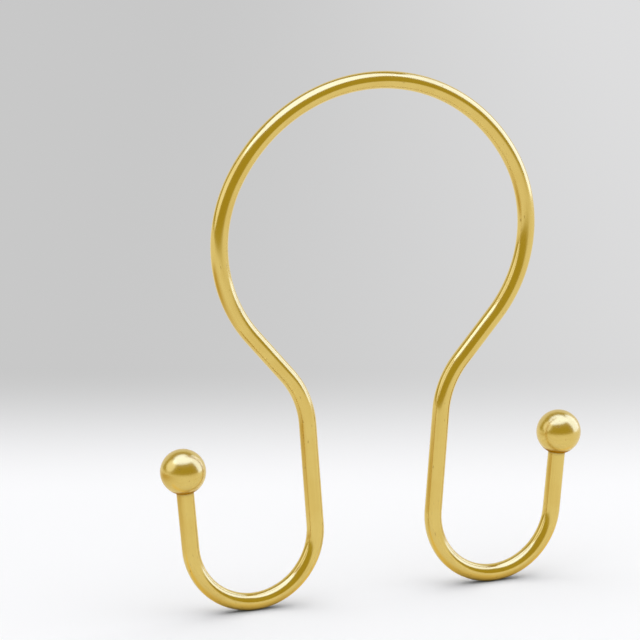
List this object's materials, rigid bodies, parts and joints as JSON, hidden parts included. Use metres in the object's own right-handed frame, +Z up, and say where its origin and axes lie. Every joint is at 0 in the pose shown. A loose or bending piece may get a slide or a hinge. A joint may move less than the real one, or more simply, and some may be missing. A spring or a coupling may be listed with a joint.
{
  "type": "shower curtain hook",
  "caption": "Shower curtain hook bent from round gold wire: a large loop over the rod narrows to a neck and opens into outward U hooks that end in balls.",
  "frame": {"origin": "the rod's seat: the highest point inside the loop, where the hook hangs on the shower rod", "axes": "+Z up as it hangs; +Y along the shower rod, through the thickness of the hook; +X across the hook, towards the hook for the curtain; the wire lies in the XZ plane"},
  "size_m": [0.0706, 0.007, 0.0822],
  "materials": {
    "gold_wire": "satin gold plating drawn along the wire",
    "gold_ball": "polished gold plating"
  },
  "bodies": {
    "root": {"bent_wire": "gold_wire", "left_end_ball": "gold_ball", "right_end_ball": "gold_ball"}
  },
  "joints": []
}
